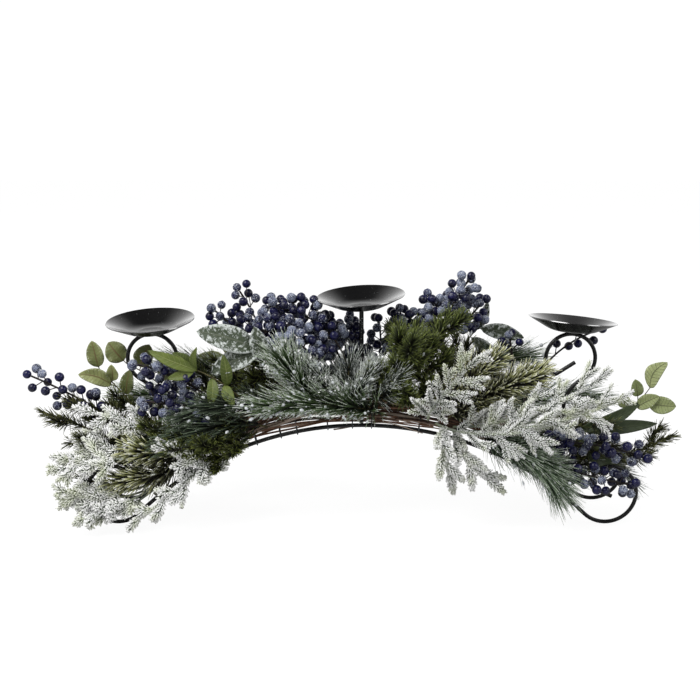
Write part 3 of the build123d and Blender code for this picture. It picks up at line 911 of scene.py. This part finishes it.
def side_shoots(rng, arc, bare, count, length, pressed):
    """Short arcs that leave a stem on all sides and bend up to its tip."""
    shares = bare + (last_shoot - bare) * (np.arange(count) + 0.5) / count
    spin = rng.uniform(0, 2 * math.pi) + np.arange(count) * math.radians(golden_turn)
    places, ways, headings = around(arc, shares, math.radians(shoot_lean), spin)
    reach = (length * mm * rng.uniform(0.75, 1.1, count) * under(ways, pressed))[:, None]
    middles = places + shoot_middle * reach * ways
    tips = places + reach * unit_rows(ways + shoot_rise * headings)
    return [arc_through(*points) for points in zip(places, middles, tips)]


def bough(
    name, material, slot, arcs, bare, count, needle, lean, thick,
    crumbs=0.0, curl=0.12, shoots=(0, 0.0), fill=(), pressed=0.0, aged=0.0,
):
    """Needles on stems and their side shoots; the fill is thinner growth deep in the bough.

    A sprig is an arc, its bare share, its number of needles and its girth.
    """
    rng = np.random.default_rng(len(name) * 17 + count)
    heap = Heap()
    sprigs = [(arc, bare, count, stem_girth) for arc in arcs]
    for arc in fill:
        sprigs.append((arc, shoot_bare, fill_needles, stem_girth))
        for shoot in side_shoots(rng, arc, fill_bare, fill_shoots, fill_shoot_length, pressed):
            sprigs.append((shoot, shoot_bare, fill_shoot_needles, shoot_girth))
    for arc in arcs:
        for shoot in side_shoots(rng, arc, bare, *shoots, pressed):
            sprigs.append((shoot, shoot_bare, int(count * shoot_share), shoot_girth))
    for arc, first, number, girth in sprigs:
        stem = on_arc(arc, np.linspace(0, 1, bough_stem_points))[0]
        taper = np.linspace(girth, 0.7 * girth, bough_stem_points) * mm
        heap.add(*tube(stem, taper, bough_stem_sides), tint=0.0, slot=1)
        shares = first + (1.0 - first) * rng.uniform(0, 1, number) ** 0.85
        fresh = (shares - first) / (1.0 - first)
        angle = np.radians(lean) * (needle_lean_base - needle_lean_lost * fresh)
        angle = angle * rng.uniform(0.6, 1.25, number)
        spin = rng.uniform(0, 2 * math.pi, number)
        places, ways, headings = around(arc, shares, angle, spin)
        length = needle * mm * rng.uniform(0.72, 1.06, number) * under(ways, pressed)
        width = thick * mm * rng.uniform(0.8, 1.2, number)
        sizes = np.stack([needle_flatness * width, width, length], axis=1)
        bend = length * rng.uniform(-0.3, 1.0, number) * curl
        tint = np.clip(rng.uniform(0, 1, number) + aged * (aged_until - fresh), 0, 1)
        copies(heap, needle_shape, places, ways, headings, sizes, tint, bend)
        hanging = ways[:, 2] < -0.2
        loaded = rng.uniform(0, 1, number) < crumbs * (1.0 + snow_catch * pressed * hanging)
        if loaded.any():
            reach = rng.uniform(0.5, 0.9, number)
            across = unit_rows(headings - ways * np.sum(headings * ways, axis=1)[:, None] + 1e-9)
            spots = places + ways * (length * reach)[:, None] + across * (bend * reach ** 2)[:, None]
            spots = spots[loaded]
            lumps = rng.uniform(least_crumb, most_crumb, (len(spots), 3)) * mm
            turns = rng.normal(size=spots.shape)
            copies(heap, crumb_shape, spots, ways[loaded], turns, lumps, tint=1.0, slot=2)
    heap.finish(name + "_needles", [material, green_stem, sugar], slot, name)


olive_fir = needle_material(
    "olive_fir", base=paint(18, 18, 8), middle=paint(64, 68, 28), tip=paint(112, 114, 56),
    other=paint(28, 30, 12), snow=0.12,
)
moss_fir = needle_material(
    "moss_fir", base=paint(14, 16, 5), middle=paint(70, 80, 25), tip=paint(122, 132, 56),
    other=paint(26, 30, 9), snow=0.12,
)
bright_fir = needle_material(
    "bright_fir", base=paint(15, 18, 6), middle=paint(70, 82, 28), tip=paint(124, 136, 62),
    other=paint(28, 34, 11), snow=0.12,
)
blue_pine = needle_material(
    "blue_pine", base=paint(6, 9, 5), middle=paint(42, 58, 36), tip=paint(114, 132, 104),
    other=paint(10, 16, 9), snow=0.14,
)
green_pine = needle_material(
    "green_pine", base=paint(18, 29, 11), middle=paint(78, 106, 52), tip=paint(184, 200, 168),
    other=paint(30, 45, 18), snow=0.27,
)
frosted_pine = needle_material(
    "frosted_pine", base=paint(14, 18, 12), middle=paint(88, 100, 84), tip=paint(216, 224, 214),
    other=paint(30, 38, 27), snow=0.30,
)
sage_pine = needle_material(
    "sage_pine", base=paint(20, 32, 17), middle=paint(90, 114, 82), tip=paint(180, 196, 168),
    other=paint(36, 56, 31), snow=0.22,
)
# The yellow tips keep the near-black base, painted shade, over half of each needle.
yellow_tips = needle_material(
    "yellow_tips", base=paint(20, 18, 12), middle=paint(152, 155, 92), tip=paint(230, 230, 192),
    other=paint(50, 50, 33), snow=0.2, dark=0.5,
)
bough(
    "far_left_fir", olive_fir, "fir_green", bare=0.3, count=220, needle=15.0, lean=60, thick=1.8,
    curl=0.03, shoots=(3, 22.0),
    arcs=[
        grow(1, -36.2, (-83, -13, 58), (-133, -15, 77)),
        grow(1, -34.7, (-80, -23, 38), (-110, -31, 42)),
        grow(1, -35.5, (-81, -5, 77), (-115, 1, 87)),
    ],
)
bough(
    "left_fir", moss_fir, "fir_green", bare=0.1, count=360, needle=17.0, lean=62, thick=2.0, crumbs=0.001,
    curl=0.03, shoots=(6, 26.0), pressed=0.75,
    arcs=[
        grow(1, -20.5, (-63, -29, 7), (-126, -29, 2)),
        grow(1, -21.7, (-15, -29, -15), (-35, -33, -34)),
        grow(1, -18, (-50, -46, -10), (-98, -48, -13)),
    ],
    fill=[
        grow(2, -33, (-40, 0, 30), (-105, 4, 50)),
        grow(2, -34, (-45, 4, 8), (-110, 6, 12)),
        grow(2, -30, (-45, -4, 35), (-95, 0, 60)),
        grow(2, -31, (-40, -6, 5), (-90, -4, -5)),
        grow(2, -36, (-55, -14, -10), (-110, -18, -22)),
        grow(3, -18, (-20, 4, 40), (-50, 4, 62)),
        grow(3, -14, (-20, 2, 40), (-40, 0, 68)),
        grow(3, -24, (-20, 4, 40), (-50, 4, 60)),
        grow(1, -20, (-45, -34, 2), (-84, -36, 0)),
        grow(1, -26, (-24, -48, 12), (-58, -52, 20)),
    ],
)
bough(
    "upright_fir", bright_fir, "fir_green", bare=0.05, count=430, needle=17.0, lean=64, thick=2.0,
    crumbs=0.002, curl=0.03, shoots=(6, 26.0),
    arcs=[
        grow(7, 7, (-1, -7, 48), (-5, 9, 91)),
        grow(7, 10, (12, 8, 62), (32, 20, 104)),
        grow(7, 8.5, (-10, -15, 46), (12, -7, 82)),
    ],
    fill=[
        grow(7, 5, (-2, -6, 16), (-8, -8, 40)),
    ],
)
bough(
    "right_fir", olive_fir, "fir_green", bare=0.35, count=250, needle=16.0, lean=54, thick=1.8,
    crumbs=0.02, curl=0.03, shoots=(3, 22.0),
    arcs=[
        grow(2, 38, (82, 4, 28), (126, 6, 47)),
    ],
    fill=[
        grow(2, 31, (45, -4, 15), (100, -4, 12)),
        grow(2, 33, (45, 0, 5), (95, 2, -10)),
        grow(2, 29, (45, -6, 25), (95, -6, 35)),
        grow(3, 13, (8, -4, 40), (22, -6, 72)),
        grow(3, 17, (12, -2, 36), (30, -4, 58)),
        grow(3, 15, (12, -2, 44), (26, -2, 84)),
    ],
)
bough(
    "left_pine_tips", yellow_tips, "pine_tip", bare=0.35, count=300, needle=30.0, lean=48, thick=3.2,
    curl=0.05, aged=1.6,
    arcs=[
        grow(1, -29, (-47, -37, -12), (-83, -39, -18)),
        grow(1, -28, (-42, -35, 7), (-74, -37, 13)),
    ],
)
bough(
    "left_pine", blue_pine, "pine_green", bare=0.1, count=400, needle=40.0, lean=34, thick=1.5,
    crumbs=0.02, curl=0.18,
    arcs=[
        grow(1, -16, (-58, -40, 12), (-103, -50, 0)),
        grow(1, -13, (-58, -35, 29), (-102, -47, 21)),
    ],
)
bough(
    "centre_pine", green_pine, "pine_green", bare=0.1, count=600, needle=44.0, lean=50, thick=1.7,
    crumbs=0.11, curl=0.2, pressed=0.6,
    arcs=[
        grow(1, 5, (-72, -43, 23), (-132, -47, 20)),
        grow(7, -9, (-4, -22, 26), (-22, -28, 58)),
    ],
)
bough(
    "post_pine", frosted_pine, "pine_green", bare=0.1, count=260, needle=27.0, lean=40, thick=1.4,
    crumbs=0.04, curl=0.15,
    arcs=[
        grow(7, -3, (20, -22, 29), (30, -20, 45)),
        grow(7, -6, (-4, -26, 37), (-18, -24, 51)),
    ],
    fill=[
        grow(7, -2, (2, 4, 14), (8, 6, 26)),
        grow(8, 0, (-6, -8, 14), (-14, -10, 26)),
        grow(7, 1, (6, -6, 14), (16, -8, 30)),
    ],
)
bough(
    "right_pine_tips", yellow_tips, "pine_tip", bare=0.3, count=320, needle=25.0, lean=58, thick=3.2,
    curl=0.05, aged=1.0,
    arcs=[
        grow(7, 13, (36, -27, 46), (60, -23, 66)),
        grow(7, 15.5, (44, -34, 37), (84, -32, 49)),
        grow(7, 17, (53, -27, 49), (84, -23, 59)),
        grow(1, 14, (30, -22, 24), (56, -24, 26)),
    ],
    fill=[
        grow(7, 14, (20, -14, 24), (38, -16, 40)),
        grow(7, 16, (24, -12, 20), (50, -14, 34)),
    ],
)
bough(
    "lower_right_pine", sage_pine, "pine_green", bare=0.1, count=620, needle=47.0, lean=40, thick=1.5,
    crumbs=0.04, curl=0.2,
    arcs=[
        grow(1, 22, (42, -43, -6), (70, -55, -38)),
        grow(1, 20, (38, -41, -5), (86, -45, -29)),
    ],
)
bough(
    "foot_pine", frosted_pine, "pine_green", bare=0.3, count=260, needle=27.0, lean=36, thick=1.1,
    curl=0.1,
    arcs=[
        grow(2, 35.5, (76, -4, 4), (94, -6, -12)),
        grow(2, 34, (62, 8, 22), (102, 6, 8)),
    ],
)
bough(
    "back_left_pine", green_pine, "pine_green", bare=0.05, count=620, needle=46.0, lean=40, thick=1.3,
    crumbs=0.10, curl=0.2,
    arcs=[
        grow(4, -8, (-59, 35, 11), (-119, 43, -9)),
        grow(4, -15, (-69, 21, 38), (-126, 25, 51)),
        grow(4, -22, (-77, 25, 20), (-130, 25, 26)),
    ],
)
bough(
    "back_right_pine", green_pine, "pine_green", bare=0.05, count=620, needle=46.0, lean=40, thick=1.3,
    crumbs=0.10, curl=0.2,
    arcs=[
        grow(4, 8, (59, 35, 11), (119, 43, -9)),
        grow(4, 12, (53, 21, 43), (111, 23, 55)),
        grow(4, 22, (74, 25, 24), (126, 23, 24)),
    ],
)

# Flocked cedar: flat fans of soft fingers, each a wire wound with short blunt leaves and buried
# in white flock that lets a little green through near the stems. That green is painted down to
# near black at the leaf bases and the cores, as painted shade between the leaves.
bpy.ops.mesh.primitive_cone_add(vertices=3, radius1=0.5, radius2=0.38, depth=1.0)
blunt_shape = take_shape()
blunt_shape[0][:, 2] += 0.5
cedar_ranks = np.array((0.0, 0.9, 1.57, 2.24, 3.14, 4.2, 5.2))
rank_stagger = 0.4
rank_jitter = 0.15
fan_flatness = 0.75
blunt_flatness = 0.8
stem_leaf_share = 0.8
fork_leaf_share = 0.95
cedar_stem_points = 24
cedar_stem_sides = 7
core_points = 9
core_sides = 6

cedar_flock, tree, shader = new_material("cedar_flock")
# Painted shade: the ramp runs from near-black green at the leaf bases and cores, the shade between the
# leaves, to white flock at the tips.
flock_and_shade = ramp(
    tree, attribute(tree, "along"),
    (0.1, paint(24, 29, 18)), (0.4, paint(176, 184, 168)), (0.62, paint(255, 255, 254)),
)
patch = ramp(tree, object_noise(tree, 45.0, 2.0), (0.46, 0.0), (0.68, 0.55))
flock_and_shade = blend_colours(tree, patch, flock_and_shade, paint(196, 204, 160))
bare_spot = ramp(tree, object_noise(tree, 420.0, 2.0), (0.6, 0.0), (0.7, 0.5))
flock_and_shade = blend_colours(tree, bare_spot, flock_and_shade, paint(122, 132, 112))
tree.links.new(flock_and_shade, shader.inputs["Base Color"])
shader.inputs["Roughness"].default_value = 0.95
shader.inputs["Specular IOR Level"].default_value = 0.1


def flock(heap, rng, spine, length, facing, wide, pitch, stout):
    """A thin core along a spine, with ranks of short blunt leaves, flatter across its fan."""
    core = spine(np.linspace(0, 1, core_points))[0]
    girth = np.linspace(1.2, 0.8, core_points) * mm
    # The core sits at the darkest end of the flock ramp, as painted shade inside the finger.
    heap.add(*tube(core, girth, core_sides)[:2], along=0.05, tint=0.3)
    rows = int(length / (pitch * mm))
    ranks = len(cedar_ranks)
    shares = np.repeat((np.arange(rows) + 0.6) / rows, ranks)
    shares = shares + rng.uniform(-rank_jitter, rank_jitter, len(shares)) / rows
    stagger = np.repeat(np.arange(rows) % 2, ranks) * rank_stagger
    spin = np.tile(cedar_ranks, rows) + stagger
    spin = spin + rng.uniform(-rank_jitter, rank_jitter, len(shares))
    places, headings = spine(shares)
    sides = unit_rows(np.cross(headings, facing))
    fronts = np.cross(sides, headings)
    out = np.cos(spin)[:, None] * sides + fan_flatness * np.sin(spin)[:, None] * fronts
    lean = rng.uniform(0.8, 1.05, len(shares)) * (1.0 - 0.6 * np.clip(shares, 0, 1) ** 3)
    ways = unit_rows(np.cos(lean)[:, None] * headings + np.sin(lean)[:, None] * out)
    size = wide * mm * rng.uniform(0.82, 1.12, len(shares)) * np.clip(0.6 + 2.5 * shares, 0.6, 1.0)
    size = size * (1.0 - 0.3 * np.clip(shares, 0, 1) ** 4)
    thick = stout * wide * mm * rng.uniform(0.18, 0.25, len(shares))
    sizes = np.stack([blunt_flatness * thick, thick, size], axis=1)
    copies(heap, blunt_shape, places, ways, headings, sizes, rng.uniform(0, 1, len(shares)))


def bowed(rng, root, way, facing, length, curl):
    """The spine of a finger that leaves a root along a way and bends a little."""
    side = np.cross(way, facing)
    side /= np.linalg.norm(side)
    front = np.cross(side, way)
    bend = length * (rng.uniform(-curl, curl) * side + rng.uniform(-0.10, 0.16) * front)

    def spine(shares):
        shares = np.atleast_1d(shares)[:, None]
        places = root + shares * length * way + shares ** 2 * bend
        return places, unit_rows(length * way + 2 * shares * bend)

    return spine


def cedar(name, facing, arcs, count, finger, wide, pitch, lean, bare, forks, curl=0.14, stout=1.0):
    """Fans of fingers on stems; the fingers' length and the bare share may differ by stem."""
    rng = np.random.default_rng(len(name) * 19 + count)
    heap = Heap()
    facing = facing / np.linalg.norm(facing)
    fingers = np.broadcast_to(finger, len(arcs))
    bares = np.broadcast_to(bare, len(arcs))
    for arc, finger, bare in zip(arcs, fingers, bares):
        stem = on_arc(arc, np.linspace(0, 1, cedar_stem_points))[0]
        girth = np.linspace(1.4, 1.1, cedar_stem_points) * mm
        heap.add(*tube(stem, girth, cedar_stem_sides)[:2], along=0.3, tint=0.6)

        def leafy(shares):
            return on_arc(arc, bare + (1 - bare) * shares)

        _, _, _, radius, sweep = arc
        flock(heap, rng, leafy, (1 - bare) * radius * sweep, facing, stem_leaf_share * wide, pitch, stout)
        for step in range(count):
            place = bare + (1 - bare) * step / (count - 1)
            root, heading = (rows[0] for rows in on_arc(arc, place))
            sideways = np.cross(heading, facing)
            sideways /= np.linalg.norm(sideways)
            swing = math.radians(lean if step % 2 else -lean) * rng.uniform(0.65, 1.2)
            if step == count - 1:
                swing = 0.0
            lift = facing * rng.uniform(-0.15, 0.35)
            way = heading * math.cos(swing) + sideways * math.sin(swing) + lift
            way /= np.linalg.norm(way)
            size = finger * mm * rng.uniform(0.9, 1.3) * (1.0 - 0.3 * step / count)
            spine = bowed(rng, root, way, facing, size, curl)
            flock(heap, rng, spine, size, facing, wide, pitch, stout)
            for share in rng.uniform(0.25, 0.6, forks):
                swing = rng.choice((-1, 1)) * rng.uniform(0.5, 0.8)
                aside = np.cross(way, facing)
                fork = way * math.cos(swing) + aside / np.linalg.norm(aside) * math.sin(swing)
                fork = fork + facing * rng.uniform(-0.1, 0.3)
                fork /= np.linalg.norm(fork)
                length = size * rng.uniform(0.4, 0.6)
                twig = bowed(rng, spine(share)[0][0], fork, facing, length, curl)
                flock(heap, rng, twig, length, facing, fork_leaf_share * wide, pitch, stout)
    heap.finish(name + "_flock", [cedar_flock], "cedar_flock", name)


heavy_flock = {"wide": 7.4, "pitch": 2.7, "lean": 44, "forks": 1, "curl": 0.3, "stout": 1.4}
cedar(
    "left_cedar", facing_front, count=6, finger=26.0, bare=(0.58, 0.45, 0.64), **heavy_flock,
    arcs=[
        grow(1, -32.5, (-77, -35, 29), (-125, -35, 21)),
        grow(1, -31.8, (-62, -29, 54), (-94, -35, 66)),
        grow(1, -29.4, (-86, -45, 9), (-140, -51, 1)),
    ],
)
cedar(
    "foot_cedar", facing_front, count=6, finger=(23.0, 9.0, 23.0, 13.0), bare=(0.6, 0.5, 0.62, 0.5),
    **heavy_flock,
    arcs=[
        grow(1, -35.4, (-56, -44, -10), (-96, -46, -14)),
        grow(1, -37.0, (-38, -48, -20), (-60, -52, -30)),
        grow(1, -34.2, (-81, -49, -18), (-112, -55, -10)),
        grow(1, -36.2, (-60, -58, -22), (-84, -60, -30)),
    ],
)
cedar(
    "hanging_left_cedar", facing_front, count=7, finger=22.0, bare=0.25, **heavy_flock,
    arcs=[
        grow(1, -26, (-38, -59, -31), (-78, -67, -61)),
        grow(1, -27, (-20, -57, 2), (-36, -59, 12)),
    ],
)
cedar(
    "right_cedar", facing_front, count=10, finger=36.0, wide=6.2, pitch=2.5, lean=40, bare=0.2, forks=1,
    arcs=[
        grow(1, 12.5, (70, -59, 2), (152, -59, 22)),
        grow(1, 11.5, (18, -53, 47), (38, -57, 71)),
        grow(1, 15.8, (86, -62, 34), (144, -56, 60)),
        grow(1, 17, (88, -72, 24), (158, -64, 44)),
    ],
)
cedar(
    "hanging_cedar", facing_front, count=6, finger=30.0, wide=8.0, pitch=2.3, lean=24, bare=0.1, forks=0,
    curl=0.14, stout=1.4,
    arcs=[
        grow(1, 16.0, (12, -34, -24), (36, -40, -48)),
        grow(1, 14.4, (-2, -36, -14), (4, -42, -44)),
    ],
)
for name, side in (("back_left_cedar", -1), ("back_right_cedar", 1)):
    cedar(
        name, facing_back, count=11, finger=34.0, wide=6.0, pitch=2.5, lean=38, bare=0.2, forks=1,
        arcs=[
            grow(4, side * 20, (side * 64, 53, -14), (side * 136, 55, -36)),
        ],
    )

# The studio: a white floor under an even white sky, a broad soft light from the upper left and
# a weaker one from the right, and the camera low in front.
scene.view_settings.view_transform = "Standard"
bpy.ops.mesh.primitive_plane_add(size=12.0)
floor = bpy.context.object
floor.name = "floor"
floor_white, tree, shader = new_material("floor_white")
shader.inputs["Base Color"].default_value = (0.5, 0.5, 0.5, 1.0)
shader.inputs["Roughness"].default_value = 1.0
shader.inputs["Specular IOR Level"].default_value = 0.0
glow = add_node(tree, "ShaderNodeEmission", Strength=1.33)
glance = add_node(tree, "ShaderNodeLightPath")
share = add_node(tree, "ShaderNodeMath", operation="MULTIPLY")
share.inputs[1].default_value = 0.7
tree.links.new(glance.outputs["Is Camera Ray"], share.inputs[0])
lit = add_node(tree, "ShaderNodeMixShader")
tree.links.new(share.outputs[0], lit.inputs["Fac"])
tree.links.new(shader.outputs["BSDF"], lit.inputs[1])
tree.links.new(glow.outputs["Emission"], lit.inputs[2])
tree.links.new(lit.outputs["Shader"], tree.nodes["Material Output"].inputs["Surface"])
floor.data.materials.append(floor_white)

world = bpy.data.worlds.new("studio")
scene.world = world
world.use_nodes = True
tree = world.node_tree
sky = tree.nodes["Background"]
sky.inputs["Color"].default_value = (1.0, 1.0, 1.0, 1.0)
sky.inputs["Strength"].default_value = 0.44
mirrored = add_node(tree, "ShaderNodeBackground")
way = add_node(tree, "ShaderNodeTexCoord")
apart = add_node(tree, "ShaderNodeSeparateXYZ")
tree.links.new(way.outputs["Generated"], apart.inputs["Vector"])
low = ramp(tree, apart.outputs["Z"], (0.25, 1.0), (0.85, 0.02))
depth = add_node(tree, "ShaderNodeMapRange")
depth.inputs["From Min"].default_value = -1.0
depth.inputs["To Min"].default_value = 0.15
depth.inputs["To Max"].default_value = 1.3
tree.links.new(apart.outputs["Y"], depth.inputs["Value"])
tree.links.new(low, mirrored.inputs["Color"])
tree.links.new(depth.outputs["Result"], mirrored.inputs["Strength"])
seen = add_node(tree, "ShaderNodeBackground", Color=(1.0, 1.0, 1.0, 1.0), Strength=1.05)
rays = add_node(tree, "ShaderNodeLightPath")
shiny = add_node(tree, "ShaderNodeMixShader")
tree.links.new(rays.outputs["Is Glossy Ray"], shiny.inputs["Fac"])
tree.links.new(sky.outputs["Background"], shiny.inputs[1])
tree.links.new(mirrored.outputs["Background"], shiny.inputs[2])
choice = add_node(tree, "ShaderNodeMixShader")
tree.links.new(rays.outputs["Is Camera Ray"], choice.inputs["Fac"])
tree.links.new(shiny.outputs["Shader"], choice.inputs[1])
tree.links.new(seen.outputs["Background"], choice.inputs[2])
tree.links.new(choice.outputs["Shader"], tree.nodes["World Output"].inputs["Surface"])


def soft_light(name, place, aim, size, watts):
    lamp = bpy.data.lights.new(name, "AREA")
    lamp.size = size
    lamp.energy = watts
    holder = bpy.data.objects.new(name, lamp)
    scene.collection.objects.link(holder)
    holder.location = place
    way = np.array(place) - np.array(aim)
    holder.rotation_euler = (
        math.atan2(math.hypot(way[0], way[1]), way[2]), 0.0, math.atan2(way[1], way[0]) + math.pi / 2
    )


soft_light("key_light", (-1.0, -1.0, 1.9), (0, 0, 0.12), 1.4, 42.0)
soft_light("side_light", (1.4, -0.7, 1.1), (0, 0, 0.12), 0.7, 6.0)

lens = bpy.data.cameras.new("camera")
lens.sensor_width = 36.0
lens.lens = 67.3
lens.shift_x = -0.0164
lens.shift_y = 0.0814
camera = bpy.data.objects.new("camera", lens)
camera.location = (0.0, -1.4586, 0.4752)
camera.rotation_euler = (math.radians(76.5), 0.0, 0.0)
scene.collection.objects.link(camera)
scene.camera = camera
